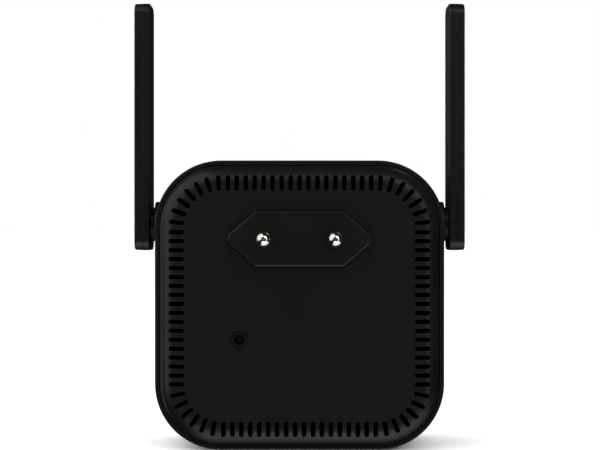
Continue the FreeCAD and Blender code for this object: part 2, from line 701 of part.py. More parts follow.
def make_plug_block():
    body = new_body("plug_block")
    face = new_sketch(body, "XZ_Plane", "0")
    plug_outline(face, "0")
    pad(body, face, "plug_proud + cover_wall")
    fillet(body, "plug_corner", plug_corners("0"))
    fillet(body, "plug_edge", at_depth("0"))
    flange = new_sketch(body, "XZ_Plane", "plug_proud + cover_wall")
    plug_outline(flange, "plug_flange")
    pad(body, flange, "flange_thickness")
    core = new_sketch(body, "XZ_Plane", "plug_proud + cover_wall + flange_thickness")
    rounded_rectangle(core, "plug_core_width", "plug_core_height", "1")
    pad(body, core, "plug_depth - plug_proud - cover_wall - flange_thickness")
    bores = new_sketch(body, "XZ_Plane", "0")
    circle(bores, "pin_spacing / 2", "0", "pin_core")
    circle(bores, "-pin_spacing / 2", "0", "pin_core")
    pocket(body, bores, "plug_depth")
    sockets = new_sketch(body, "XZ_Plane", "0")
    circle(sockets, "pin_spacing / 2", "0", "sleeve_radius")
    circle(sockets, "-pin_spacing / 2", "0", "sleeve_radius")
    pocket(body, sockets, "sleeve_root")


def make_pins():
    """Round pins with half-round ends, thinner under their insulating sleeves."""
    tail = "-plug_depth - pin_tail"
    pin = turned("plug_pin_right", "XY_Plane", "pin_spacing / 2", "0", "0", [
        ("0", tail),
        ("pin_core", tail),
        ("pin_core", "sleeve_length"),
        ("pin_radius", "sleeve_length"),
        ("pin_radius", "pin_length - pin_radius", "pin_radius"),
        ("0", "pin_length"),
    ], "V_Axis")
    sleeve = turned("pin_sleeve_right", "XY_Plane", "pin_spacing / 2", "0", "0", [
        ("pin_core", "-sleeve_root"),
        ("sleeve_radius", "-sleeve_root"),
        ("sleeve_radius", "sleeve_length"),
        ("pin_core", "sleeve_length"),
    ], "V_Axis")
    mirrored(pin, "plug_pin_left")
    mirrored(sleeve, "pin_sleeve_left")


def make_pin_terminals():
    """A sheet strap round each pin's tail, with a leg that stands on the power board."""
    height = "strap_reach + strap_width / 2"
    middle = "strap_reach / 2 - strap_width / 4"
    strap = box("strap", ("strap_width", "strap_thickness", height), ("pin_spacing / 2", middle),
                "plug_depth")
    leg_z = "strap_reach - strap_thickness / 2"
    leg = box("strap_leg", ("strap_width", "terminal_height", "strap_thickness"),
              ("pin_spacing / 2", leg_z), "plug_depth")
    hole = cylinder("strap_hole", "pin_core", "pin_tail * 2", ("pin_spacing / 2", "plug_depth", "0"),
                    "depth")
    bent = fuse("strap_bent", [strap, leg])
    terminal = keep(cut("pin_terminal_right", bent, hole), "pin_terminal_right")
    mirrored(terminal, "pin_terminal_left")


# Hinges and antennas ----------------------------------------------------------------------------

def antenna_outline(sketch, inset):
    rounded_rectangle(sketch, "antenna_width - 2 * (%s)" % inset, "antenna_length - 2 * (%s)" % inset,
                      "antenna_corner - (%s)" % inset, "-hinge_depth", "antenna_middle")


def make_antenna_shells():
    """Two shallow trays, face to face, round the radiator strip."""
    inner = new_body("antenna_inner_right")
    plate = new_sketch(inner, "YZ_Plane", "antenna_face")
    antenna_outline(plate, "0")
    pad(inner, plate, "antenna_inner_part")
    fillet(inner, "antenna_inner_round", at_x("antenna_face"))
    hollow = new_sketch(inner, "YZ_Plane", "antenna_face + antenna_wall")
    antenna_outline(hollow, "antenna_wall")
    pocket(inner, hollow, "antenna_inner_part - antenna_wall")
    hole = new_sketch(inner, "YZ_Plane", "antenna_face")
    circle(hole, "-hinge_depth", "hinge_height", "neck_radius")
    pocket(inner, hole, "antenna_wall")

    outer = new_body("antenna_outer_right")
    plate = new_sketch(outer, "YZ_Plane", "antenna_split")
    antenna_outline(plate, "0")
    pad(outer, plate, "antenna_outer_part", draft="antenna_draft")
    fillet(outer, "antenna_round", at_x("antenna_back"))
    hollow = new_sketch(outer, "YZ_Plane", "antenna_split")
    antenna_outline(hollow, "antenna_wall")
    pocket(outer, hollow, "antenna_outer_part - antenna_wall")
    mirrored(inner, "antenna_inner_left")
    mirrored(outer, "antenna_outer_left")


def make_axles():
    """A hollow axle: flange inside the antenna, neck, journal in the boss, and a clip groove."""
    end = "clip_outside - clip_thickness - axle_end"
    groove = "clip_outside - clip_thickness"
    flange = "antenna_face + antenna_wall"
    shoulder = "boss_face + hinge_gap"
    axle = turned("antenna_axle_right", "XY_Plane", "0", "-hinge_depth", "hinge_height", [
        (end, "axle_bore"),
        (flange + " + axle_flange_thickness", "axle_bore"),
        (flange + " + axle_flange_thickness", "axle_flange"),
        (flange, "axle_flange"),
        (flange, "neck_radius"),
        (shoulder, "neck_radius"),
        (shoulder, "axle_radius"),
        ("clip_outside", "axle_radius"),
        ("clip_outside", "clip_groove"),
        (groove, "clip_groove"),
        (groove, "axle_radius"),
        (end, "axle_radius"),
    ], "H_Axis")
    mirrored(axle, "antenna_axle_left")


def ring(name, start, length, outer, inner):
    """A flat ring about the right-hand hinge's axis."""
    origin = (start, "hinge_depth", "hinge_height")
    disc = cylinder(name + "_disc", outer, length, origin, "x")
    hole = cylinder(name + "_hole", inner, length, origin, "x")
    return cut(name + "_ring", disc, hole)


def make_hinge_hardware():
    """The washer that rubs and the open clip that holds the axle in."""
    washer = ring("friction_washer", "clip_outside", "washer_thickness", "washer_radius",
                  "axle_radius + axle_fit")
    mirrored(keep(washer, "friction_washer_right"), "friction_washer_left")
    clip = ring("axle_clip", "clip_outside - clip_thickness", "clip_thickness", "clip_radius",
                "clip_groove")
    mouth = box("axle_clip_mouth", ("2 * clip_thickness", "clip_mouth", "clip_radius * 2"),
                ("clip_outside - clip_thickness / 2", "hinge_height - clip_radius"),
                "hinge_depth - clip_mouth / 2")
    open_clip = keep(cut("axle_clip", clip, mouth), "axle_clip_right")
    mirrored(open_clip, "axle_clip_left")


def make_radiators():
    height = "radiator_above + radiator_below"
    middle = ("radiator_face + radiator_thickness / 2",
              "hinge_height + (radiator_above - radiator_below) / 2")
    strip = box("radiator", ("radiator_thickness", "radiator_width", height), middle,
                "hinge_depth - radiator_width / 2")
    mirrored(keep(strip, "antenna_radiator_right"), "antenna_radiator_left")


def lead_route():
    """From the hinge axis inside the antenna to the side of the aerial socket on the main board."""
    level = number("hinge_height")
    depth = number("hinge_depth")
    lying = number("main_board_depth - lead_lie")
    top = number("hinge_height + socket_rise")
    bend = number("boss_back - lead_straight")
    start = Vector(number("radiator_face - lead_gap"), -depth, level)
    first = Vector(bend, -depth, level)
    second = Vector(bend - number("lead_sweep"), -lying, top)
    return [start, first, second, Vector(number("socket_x + socket_size / 2"), -lying, top)]


def rounded_wire(points):
    """Straight runs joined by tangent arcs, each as large as its runs allow."""
    edges = []
    here = points[0]
    for before, corner, after in zip(points, points[1:], points[2:]):
        back = (before - corner).normalize()
        ahead = (after - corner).normalize()
        turn = math.pi - back.getAngle(ahead)
        reach = 0.45 * min((before - corner).Length, (after - corner).Length)
        radius = reach / math.tan(turn / 2)
        print("lead radius %.1f" % radius)
        first = corner + back * reach
        last = corner + ahead * reach
        inward = (back + ahead).normalize()
        centre = corner + inward * (radius / math.cos(turn / 2))
        edges.append(Part.LineSegment(here, first).toShape())
        edges.append(Part.Arc(first, centre - inward * radius, last).toShape())
        here = last
    edges.append(Part.LineSegment(here, points[-1]).toShape())
    return Part.Wire(edges)


def make_leads():
    """The thin coaxial lead that each antenna is fed by, swept along its route."""
    route = rounded_wire(lead_route())
    start = route.Edges[0].Vertexes[0].Point
    ring_edge = Part.makeCircle(number("lead_radius"), start, Vector(-1, 0, 0))
    solid = route.makePipeShell([Part.Wire([ring_edge])], True, False)
    expected = route.Length * math.pi * number("lead_radius") ** 2
    print("lead volume %.2f, section times length %.2f" % (solid.Volume, expected))
    lead = doc.addObject("Part::Feature", "antenna_lead_right")
    lead.Shape = solid
    mirrored(keep(lead, "antenna_lead_right"), "antenna_lead_left")


# Reset switch -----------------------------------------------------------------------------------

def make_reset_switch():
    """A push switch on the back of the power board, under the reset hole."""
    spot = ("reset_x", "-reset_drop")
    face = "power_board_depth - switch_height"
    block = box("switch_block", ("switch_size", "switch_height", "switch_size"), spot, face)
    well = cylinder("switch_well", "stem_radius + stem_fit", "stem_foot + 2 * stem_travel",
                    ("reset_x", face, "-reset_drop"), "depth")
    keep(cut("reset_switch", block, well), "reset_switch")
    stem = cylinder("reset_stem", "stem_radius", "stem_reach + stem_foot",
                    ("reset_x", face + " - stem_reach", "-reset_drop"), "depth")
    keep(stem, "reset_stem")


# Boards and what stands on them -----------------------------------------------------------------

def make_board(label, prefix):
    """A board with round corners and four screw holes."""
    body = new_body(label)
    edge = new_sketch(body, "XZ_Plane", prefix + "_board_depth")
    rounded_rectangle(edge, prefix + "_board_width", prefix + "_board_height", "board_corner",
                      "0", "-case_drop")
    pad(body, edge, prefix + "_board_thickness")
    holes = new_sketch(body, "XZ_Plane", prefix + "_board_depth")
    post_circles(holes, prefix + "_post_x", prefix + "_post_rise", "screw_radius + screw_clearance")
    pocket(body, holes, prefix + "_board_thickness")


def make_screws(label, prefix, head_depth, way):
    """Four board screws. `way` is 1 for screws driven towards the front, -1 towards the back."""
    pieces = []
    for side in ("", "-"):
        for level in ("+", "-"):
            x = side + prefix + "_post_x"
            z = "-case_drop %s %s_post_rise" % (level, prefix)
            shank_start = head_depth if way > 0 else head_depth + " - screw_length"
            head_start = head_depth + " - screw_head_height" if way > 0 else head_depth
            shank = cylinder(label + "_shank", "screw_radius", "screw_length", (x, shank_start, z), "depth")
            head = cylinder(label + "_head", "screw_head", "screw_head_height", (x, head_start, z), "depth")
            recess_start = head_start if way > 0 else head_depth + " + screw_head_height / 2"
            recess = cylinder(label + "_recess", "screw_recess", "screw_head_height / 2",
                              (x, recess_start, z), "depth")
            whole = fuse(label + "_whole", [shank, head])
            pieces.append(cut(label + "_screw", whole, recess))
    keep(group(label, pieces), label)


def make_blocks():
    for name, _, _, board, side in BLOCKS:
        size = (name + "_width", name + "_depth", name + "_height")
        back = board + "_board_front" if side == "front" else "%s_board_depth - %s" % (board, size[1])
        keep(box(name, size, (name + "_x", name + "_z"), back), name)


def make_rounds():
    for name, _, _, _ in LYING:
        x = "%s_x - %s_length / 2" % (name, name)
        start = (x, "power_board_front + %s_radius" % name, name + "_z")
        keep(cylinder(name, name + "_radius", name + "_length", start, "x"), name)
    for name, _, _, _ in STANDING:
        start = (name + "_x", "power_board_front", name + "_z")
        length = "board_bay - %s_room" % name
        keep(cylinder(name, name + "_radius", length, start, "depth"), name)


def make_bulk_capacitors():
    pieces = []
    for step in range(2):
        spot = ("-bulk_x", "power_board_front", "-bulk_drop - %d * bulk_pitch" % step)
        pieces.append(cylinder("bulk_capacitor", "bulk_radius", "tall_part", spot, "depth"))
    keep(group("bulk_capacitors", pieces), "bulk_capacitors")


def make_transformer():
    """A ferrite frame round a taped winding."""
    spot = ("transformer_x", "-transformer_drop")
    inside = "power_board_front + core_leg"
    width = "core_width - 2 * core_leg"
    depth = "tall_part - 2 * core_leg"
    frame = box("core_block", ("core_width", "tall_part", "core_height"), spot, "power_board_front")
    window = box("core_window", (width, depth, "core_height"), spot, inside)
    keep(cut("transformer_core", frame, window), "transformer_core")
    keep(box("transformer_winding", (width, depth, "winding_height"), spot, inside),
         "transformer_winding")


def make_board_link():
    """A pin header that joins the power board to the main board."""
    ways = int(number("link_ways"))
    width = "link_ways * link_pitch"
    header = box("header_block", (width, "link_block", "link_block"), ("-link_x", "-link_drop"),
                 "power_board_front")
    size = ("link_pin", "board_bay", "link_pin")
    pins = []
    for step in range(ways):
        x = "-link_x + link_pitch * (%d - (link_ways - 1) / 2)" % step
        pins.append(box("header_pin", size, (x, "-link_drop"), "power_board_front"))
    row = keep(group("link_pins", pins), "link_pins")
    keep(cut("link_header", header, row), "link_header")


def make_radio_parts():
    """The wifi chip, its pad, the folded can over them, and the plate that spreads their heat."""
    spot = ("0", "-chip_drop")
    board = "main_board_front"
    room = "can_size - 2 * can_sheet"
    can = box("can_block", ("can_size", "can_height", "can_size"), spot, board)
    inside = box("can_inside", (room, "can_height - can_sheet", room), spot, board)
    keep(cut("shield_can", can, inside), "shield_can")
    keep(box("wifi_chip", ("chip_size", "chip_height", "chip_size"), spot, board), "wifi_chip")
    pad_size = ("chip_size", "can_height - can_sheet - chip_height", "chip_size")
    keep(box("thermal_pad", pad_size, spot, board + " + chip_height"), "thermal_pad")
    width = "main_board_width - 2 * spreader_side"
    height = "main_board_height - 2 * spreader_end"
    plate = (width, "spreader_thickness", height)
    keep(box("heat_spreader", plate, spot, board + " + can_height"), "heat_spreader")


def make_aerial_sockets():
    """The press-on connector at the end of each lead."""
    size = ("socket_size", "socket_height", "socket_size")
    spot = ("socket_x", "hinge_height + socket_rise")
    socket = box("aerial_socket", size, spot, "main_board_depth - socket_height")
    mirrored(keep(socket, "aerial_socket_right"), "aerial_socket_left")


def make_lamp():
    size = ("lamp_size", "lamp_height", "lamp_size")
    keep(box("status_lamp", size, ("0", "-light_drop"), "main_board_front"), "status_lamp")


def make_light_pipe():
    """A clear rod from the lamp to the front face, with a flange behind the front wall."""
    wall = "-front_depth + front_wall"
    turned("light_pipe", "XY_Plane", "0", "0", "-light_drop", [
        ("0", "-front_depth"),
        ("light_radius", "-front_depth"),
        ("light_radius", wall),
        ("light_flange", wall),
        ("light_flange", wall + " + light_flange_thickness"),
        ("light_radius", wall + " + light_flange_thickness"),
        ("light_radius", "-main_board_front - lamp_height - light_gap"),
        ("0", "-main_board_front - lamp_height - light_gap"),
    ], "V_Axis")


# Build ------------------------------------------------------------------------------------------

def check_and_export():
    """Stop if anything failed, then write one file per sub-part."""
    doc.recompute()
    for item in doc.Objects:
        if "Invalid" in item.State or "Error" in item.State:
            raise ValueError("%s failed: %s" % (item.Label, item.State))
    for item in finished:
        if item.Shape.isNull() or not item.Shape.isValid() or not item.Shape.Solids:
            raise ValueError("%s has no sound solid" % item.Label)
    os.makedirs("parts", exist_ok=True)
    for item in finished:
        item.Shape.exportStep("parts/%s.step" % item.Label)
    print("%d sub-parts" % len(finished))


fill_sheet()
make_front_shell()
make_rear_cover()
make_plug_block()
make_pins()
make_pin_terminals()
make_antenna_shells()
make_axles()
make_hinge_hardware()
make_radiators()
make_leads()
make_reset_switch()
make_board("power_board", "power")
make_board("main_board", "main")
make_screws("power_board_screws", "power", "power_board_front", -1)
make_screws("main_board_screws", "main", "main_board_depth", 1)
make_blocks()
make_rounds()
make_bulk_capacitors()
make_transformer()
make_board_link()
make_radio_parts()
make_aerial_sockets()
make_lamp()
make_light_pipe()
check_and_export()
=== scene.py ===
import json
import math

import bmesh
import bpy
from mathutils import Matrix, Vector


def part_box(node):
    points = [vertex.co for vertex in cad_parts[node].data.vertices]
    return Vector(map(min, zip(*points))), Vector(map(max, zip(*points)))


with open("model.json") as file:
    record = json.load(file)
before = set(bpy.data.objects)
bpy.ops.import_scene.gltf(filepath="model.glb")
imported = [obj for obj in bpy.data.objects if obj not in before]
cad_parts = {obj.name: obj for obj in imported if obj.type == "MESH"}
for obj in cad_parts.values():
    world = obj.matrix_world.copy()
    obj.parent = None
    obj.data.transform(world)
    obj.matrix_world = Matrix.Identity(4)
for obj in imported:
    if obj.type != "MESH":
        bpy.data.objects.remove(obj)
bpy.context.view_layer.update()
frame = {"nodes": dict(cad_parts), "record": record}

# A black plug-in wifi range extender: a satin moulded case with a vented back cover and a mains plug,
# and a hinged flat antenna at each side. Metres. +Z is up, the pins point along +Y, the front faces -Y.

MM = 0.001


def linear(hex_colour):
    """An sRGB hex colour as the linear RGBA that a shader wants."""
    channels = [int(hex_colour[place:place + 2], 16) / 255 for place in (1, 3, 5)]
    bent = [c / 12.92 if c <= 0.04045 else ((c + 0.055) / 1.055) ** 2.4 for c in channels]
    return (*bent, 1.0)


def add(tree, kind, settings=None, links=None):
    """Add a node. A setting is one of its inputs, by name or number, or one of its own options."""
    node = tree.nodes.new(kind)
    for name, value in (settings or {}).items():
        if isinstance(name, int) or name in node.inputs:
            node.inputs[name].default_value = value
        else:
            setattr(node, name, value)
    for name, source in (links or {}).items():
        tree.links.new(source, node.inputs[name])
    return node


# Materials --------------------------------------------------------------------------------------

# Numbers of a colour mix's two inputs and its output, and of a plain number mix's two inputs.
FIRST, SECOND, MIXED = 6, 7, 2
NUMBER_FROM, NUMBER_TO = 2, 3

# The black plastics: their refraction, and how strongly they reflect, 0.5 being a bare polished surface.
PLASTIC_IOR = 1.5
PLASTIC_SPECULAR = 0.265


def start_material(name):
    """A new material: its node tree, its shader, and places on the object in metres."""
    material = bpy.data.materials.new(name)
    material.use_nodes = True
    tree = material.node_tree
    tree.nodes.clear()
    shader = add(tree, "ShaderNodeBsdfPrincipled")
    add(tree, "ShaderNodeOutputMaterial", links={"Surface": shader.outputs["BSDF"]})
    place = add(tree, "ShaderNodeTexCoord").outputs["Object"]
    return material, tree, shader, place


def two_tones(tree, shader, mask, colour, other):
    """Base colour that wanders between two tones."""
    tones = add(tree, "ShaderNodeMix", {"data_type": "RGBA", FIRST: linear(colour), SECOND: linear(other)},
                {"Factor": mask})
    tree.links.new(tones.outputs[MIXED], shader.inputs["Base Color"])


def moulded_plastic(name, colour, worn_and_edge_highlight_tone, grain, depth, gloss, edge=0.2):
    """Black thermoplastic from a spark-eroded mould. The eye gets an even fine grain that widens every
    highlight, gloss and tone that drift where hands have been, and glossier edges painted lighter: a painted
    edge highlight.
    `grain`, `depth` and `edge` in mm; `gloss` is the range of roughness."""
    touch_size = 18 * MM
    square_on, at_an_edge = 0.99, 0.85
    material, tree, shader, place = start_material(name)
    pits = add(tree, "ShaderNodeTexNoise", {"Scale": 1 / (grain * MM), "Detail": 3.0, "Roughness": 0.6},
               {"Vector": place})
    touch = add(tree, "ShaderNodeTexNoise", {"Scale": 1 / touch_size, "Detail": 4.0, "Roughness": 0.55},
                {"Vector": place})
    worn = add(tree, "ShaderNodeMapRange", {"From Min": 0.35, "From Max": 0.7},
               {"Value": touch.outputs["Fac"]})
    rounded = add(tree, "ShaderNodeBevel", {"samples": 4, "Radius": edge * MM})
    true = add(tree, "ShaderNodeNewGeometry")
    likeness = add(tree, "ShaderNodeVectorMath", {"operation": "DOT_PRODUCT"},
                   {0: rounded.outputs["Normal"], 1: true.outputs["Normal"]})
    # Painted highlight: near every edge the base colour turns to the lighter tone, and the edges also get
    # glossier.
    painted_edge_highlight = add(tree, "ShaderNodeMapRange", {"From Min": square_on, "From Max": at_an_edge},
              {"Value": likeness.outputs["Value"]})
    mask = add(tree, "ShaderNodeMath", {"operation": "MAXIMUM"},
               {0: worn.outputs["Result"], 1: painted_edge_highlight.outputs["Result"]})
    # The lighter tone is partly random wear where hands have been and partly a painted highlight along the
    # edges.
    two_tones(tree, shader, mask.outputs["Value"], colour, worn_and_edge_highlight_tone)
    matt, shiny = gloss
    rough = add(tree, "ShaderNodeMapRange", {"To Min": matt, "To Max": shiny},
                {"Value": mask.outputs["Value"]})
    tree.links.new(rough.outputs["Result"], shader.inputs["Roughness"])
    relief = add(tree, "ShaderNodeBump", {"Distance": depth * MM},
                 {"Height": pits.outputs["Fac"], "Normal": rounded.outputs["Normal"]})
    tree.links.new(relief.outputs["Normal"], shader.inputs["Normal"])
    shader.inputs["IOR"].default_value = PLASTIC_IOR
    shader.inputs["Specular IOR Level"].default_value = PLASTIC_SPECULAR
    return material


def plated_pin(name, colour, dull):
    """Bright nickel on turned brass. The eye gets a near mirror, with fine scratches along it from being
    pushed in and out of sockets, and a tone that drifts a little."""
    scratch_size, scratch_depth, haze_size = 0.3 * MM, 0.001 * MM, 2.5 * MM
    material, tree, shader, place = start_material(name)
    along = add(tree, "ShaderNodeMapping", {"Scale": (1.0, 0.08, 1.0)}, {"Vector": place})
    scratch = add(tree, "ShaderNodeTexNoise", {"Scale": 1 / scratch_size, "Detail": 3.0, "Roughness": 0.65},
                  {"Vector": along.outputs["Vector"]})
    haze = add(tree, "ShaderNodeTexNoise", {"Scale": 1 / haze_size, "Detail": 2.0}, {"Vector": place})
    two_tones(tree, shader, haze.outputs["Fac"], colour, dull)
    rough = add(tree, "ShaderNodeMapRange",
                {"From Min": 0.3, "From Max": 0.8, "To Min": 0.05, "To Max": 0.14},
                {"Value": scratch.outputs["Fac"]})
    tree.links.new(rough.outputs["Result"], shader.inputs["Roughness"])
    relief = add(tree, "ShaderNodeBump", {"Distance": scratch_depth}, {"Height": scratch.outputs["Fac"]})
    tree.links.new(relief.outputs["Normal"], shader.inputs["Normal"])
    shader.inputs["Metallic"].default_value = 1.0
    return material


def rolled_metal(name, colour, other, gloss, line=0.15, along=(1.0, 1.0, 0.1)):
    """Rolled, stamped or plated metal. Drawn lines one way give a streaked sheen, and the plating's
    tone drifts. `line` is the spacing of the lines in mm, and the pattern is stretched along the axis
    that has the small number in `along`."""
    line_depth, cloud_size = 0.004 * MM, 4 * MM
    material, tree, shader, place = start_material(name)
    drawn = add(tree, "ShaderNodeMapping", {"Scale": along}, {"Vector": place})
    lines = add(tree, "ShaderNodeTexNoise", {"Scale": 1 / (line * MM), "Detail": 3.0, "Roughness": 0.6},
                {"Vector": drawn.outputs["Vector"]})
    cloud = add(tree, "ShaderNodeTexNoise", {"Scale": 1 / cloud_size, "Detail": 2.0}, {"Vector": place})
    two_tones(tree, shader, cloud.outputs["Fac"], colour, other)
    rough = add(tree, "ShaderNodeMapRange", {"To Min": gloss[0], "To Max": gloss[1]},
                {"Value": lines.outputs["Fac"]})
    tree.links.new(rough.outputs["Result"], shader.inputs["Roughness"])
    relief = add(tree, "ShaderNodeBump", {"Distance": line_depth}, {"Height": lines.outputs["Fac"]})
    tree.links.new(relief.outputs["Normal"], shader.inputs["Normal"])
    shader.inputs["Metallic"].default_value = 1.0
    return material


def coated_part(name, colour, other, gloss, grain=0.15, depth=0.005):
    """A small moulded, dipped, lacquered or wrapped component. Two close tones, a light grain or ripple
    `grain` mm across and `depth` mm deep, and gloss that follows it."""
    cloud_size = 3 * MM
    material, tree, shader, place = start_material(name)
    skin = add(tree, "ShaderNodeTexNoise", {"Scale": 1 / (grain * MM), "Detail": 2.0}, {"Vector": place})
    cloud = add(tree, "ShaderNodeTexNoise", {"Scale": 1 / cloud_size, "Detail": 2.0}, {"Vector": place})
    two_tones(tree, shader, cloud.outputs["Fac"], colour, other)
    rough = add(tree, "ShaderNodeMapRange", {"To Min": gloss[0], "To Max": gloss[1]},
                {"Value": skin.outputs["Fac"]})
    tree.links.new(rough.outputs["Result"], shader.inputs["Roughness"])
    relief = add(tree, "ShaderNodeBump", {"Distance": depth * MM}, {"Height": skin.outputs["Fac"]})
    tree.links.new(relief.outputs["Normal"], shader.inputs["Normal"])
    return material


def laminate(name, colour, dark, weave=0.5, track=1.6):
    """Printed board. Its glass weave, `weave` mm a thread, shows through a glossy mask, and copper areas
    about `track` mm wide make slightly raised, darker patches."""
    copper_thickness = 0.02 * MM
    material, tree, shader, place = start_material(name)
    cloth = add(tree, "ShaderNodeTexWave", {"Scale": 1 / (weave * MM * math.tau), "Distortion": 0.4},
                {"Vector": place})
    copper = add(tree, "ShaderNodeTexVoronoi", {"Scale": 1 / (track * MM), "distance": "CHEBYCHEV"},
                 {"Vector": place})
    patch = add(tree, "ShaderNodeMapRange", {"From Min": 0.3, "From Max": 0.34},
                {"Value": copper.outputs["Distance"]})
    two_tones(tree, shader, patch.outputs["Result"], colour, dark)
    sheen = add(tree, "ShaderNodeMapRange", {"To Min": 0.28, "To Max": 0.4}, {"Value": cloth.outputs["Fac"]})
    tree.links.new(sheen.outputs["Result"], shader.inputs["Roughness"])
    relief = add(tree, "ShaderNodeBump", {"Distance": copper_thickness}, {"Height": patch.outputs["Result"]})
    tree.links.new(relief.outputs["Normal"], shader.inputs["Normal"])
    return material


def clear_rod(name):
    """Clear acrylic light pipe: glassy, with the faint haze that the mould leaves on it."""
    haze_size = 0.4 * MM
    material, tree, shader, place = start_material(name)
    haze = add(tree, "ShaderNodeTexNoise", {"Scale": 1 / haze_size, "Detail": 2.0}, {"Vector": place})
    two_tones(tree, shader, haze.outputs["Fac"], "#E4E8EA", "#D6DADD")
    rough = add(tree, "ShaderNodeMapRange", {"To Min": 0.1, "To Max": 0.25}, {"Value": haze.outputs["Fac"]})
    tree.links.new(rough.outputs["Result"], shader.inputs["Roughness"])
    shader.inputs["Transmission Weight"].default_value = 0.7
    shader.inputs["IOR"].default_value = 1.49
    return material


FINISHES = {
    # A moulded plastic's second tone is its worn tone, and it is also painted along every edge as a painted
    # highlight.
    "case_black": moulded_plastic("satin_black_abs", "#0A0A0A", "#0E0E0E", 0.30, 0.006, (0.36, 0.30)),
    "antenna_black": moulded_plastic("fine_black_abs", "#0A0A0A", "#0E0E0E", 0.22, 0.003, (0.34, 0.28)),
    "plug_black": moulded_plastic("black_polycarbonate", "#0A0A0A", "#0E0E0E", 0.25, 0.004, (0.36, 0.30)),
    "hinge_black": moulded_plastic("black_acetal", "#080808", "#0B0B0B", 0.20, 0.003, (0.46, 0.40)),
    "sleeve_black": moulded_plastic("black_nylon", "#0B0B0C", "#0F0F10", 0.20, 0.003, (0.38, 0.32), 0.05),
    "pin_nickel": plated_pin("bright_nickel_plate", "#E9E7E3", "#DEDBD4"),
    "terminal_tin": rolled_metal("tinned_brass_strip", "#C9C7C0", "#B9B6AD", (0.2, 0.35)),
    "spring_steel": rolled_metal("black_oxide_spring_steel", "#2A2B2E", "#212225", (0.3, 0.45)),
    "board_green": laminate("green_glass_epoxy", "#1C5A38", "#174C2F"),
    "power_board_tan": laminate("tan_paper_phenolic", "#B39A63", "#A58B55"),
    "radiator_copper": rolled_metal("bare_copper_foil", "#C98B5C", "#B87B4E", (0.25, 0.4), 0.2),
    "lead_grey": coated_part("grey_cable_jacket", "#3A3B3D", "#333436", (0.35, 0.5), 0.2, 0.004),
    "socket_brass": rolled_metal("gold_flashed_brass", "#D8B560", "#CDA852", (0.2, 0.3), 0.1),
    "chip_black": coated_part("black_mould_compound", "#1E1E1F", "#232324", (0.5, 0.65), 0.08, 0.006),
    "can_tin": rolled_metal("tin_plated_steel", "#C4C5C4", "#B6B7B6", (0.22, 0.38), 0.15, (0.1, 1.0, 1.0)),
    "crystal_steel": rolled_metal("nickel_plated_lid", "#CFCFCD", "#C2C2C0", (0.15, 0.3), 0.1),
    "spreader_aluminium": rolled_metal("mill_finish_aluminium", "#D0D1D2", "#C3C4C6", (0.25, 0.4), 0.2),
    "pad_grey": coated_part("grey_silicone_pad", "#7E858C", "#747B82", (0.6, 0.75), 0.2, 0.01),
    "ferrite": coated_part("sintered_ferrite", "#35353A", "#2C2C30", (0.55, 0.7), 0.15, 0.01),
    "tape_yellow": coated_part("polyester_tape", "#D9B32A", "#CCA422", (0.2, 0.3), 0.8, 0.006),
    "capacitor_sleeve": coated_part("pvc_shrink_sleeve", "#1B2340", "#171D36", (0.2, 0.3), 0.6, 0.004),
    "capacitor_blue": coated_part("dipped_epoxy", "#2E62A8", "#285694", (0.25, 0.4), 0.5, 0.01),
    "fuse_brown": coated_part("brown_lacquer", "#6B3F22", "#5F371D", (0.2, 0.35), 0.4, 0.008),
    "optocoupler_white": coated_part("white_mould_compound", "#D8D6D0", "#CCCAC3", (0.45, 0.6), 0.1, 0.004),
    "header_black": coated_part("black_glass_nylon", "#1C1C1D", "#212122", (0.45, 0.6), 0.1, 0.006),
    "link_tin": rolled_metal("gold_flashed_pins", "#D6BC78", "#C9AF6C", (0.2, 0.3), 0.1),
    "screw_steel": rolled_metal("zinc_plated_steel", "#B9BCC0", "#A9ADB2", (0.25, 0.4), 0.1),
    "switch_black": coated_part("switch_housing_nylon", "#1E1E20", "#242426", (0.4, 0.55), 0.1, 0.005),
    "stem_black": coated_part("switch_stem_nylon", "#0D0D0E", "#111112", (0.35, 0.5), 0.1, 0.004),
    "lamp_white": coated_part("lamp_phosphor_gel", "#E4DDB0", "#D8D09F", (0.3, 0.45), 0.2, 0.003),
    "light_pipe_clear": clear_rod("clear_acrylic"),
}


def finish_cad_nodes():
    """Give every carried-over piece the finish of its slot."""
    for entry in frame["record"]["subparts"]:
        slots = frame["nodes"][entry["node"]].data.materials
        slots.clear()
        slots.append(FINISHES[entry["material_slot"]])


finish_cad_nodes()


# Stage ------------------------------------------------------------------------------------------

CASE_LOW, CASE_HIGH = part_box("front_shell")
COVER_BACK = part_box("rear_cover")[1].y

FLOOR_REACH = 12.0
FLOOR_SQUARES = 24

# How bright the room is, paper white being 1: to matt surfaces, and to glossy ones, which see a dim room
# with a soft glow where the plug points and a bright card low down.
MATT_ROOM = 1.08
GLOSSY_ROOM, GLOW, CARD = 0.012, 0.08, 2.25

# Where the glow and the card start and where they are full, as the part of a direction along one axis.
GLOW_Y = (0.86, 0.99)
CARD_X = (0.5, 0.35)
CARD_Y = (-0.45, 0.7)
CARD_Z = (-0.42, -0.6)

# The camera: its lens and sensor in mm, how far it stands behind the cover, and how far from the middle
# of the case along X and up.
LENS, SENSOR = 99.1, 36.0
CAMERA_BACK = 443.7 * MM
CAMERA_ASIDE = -0.12 * MM
CAMERA_RISE = 21.8 * MM


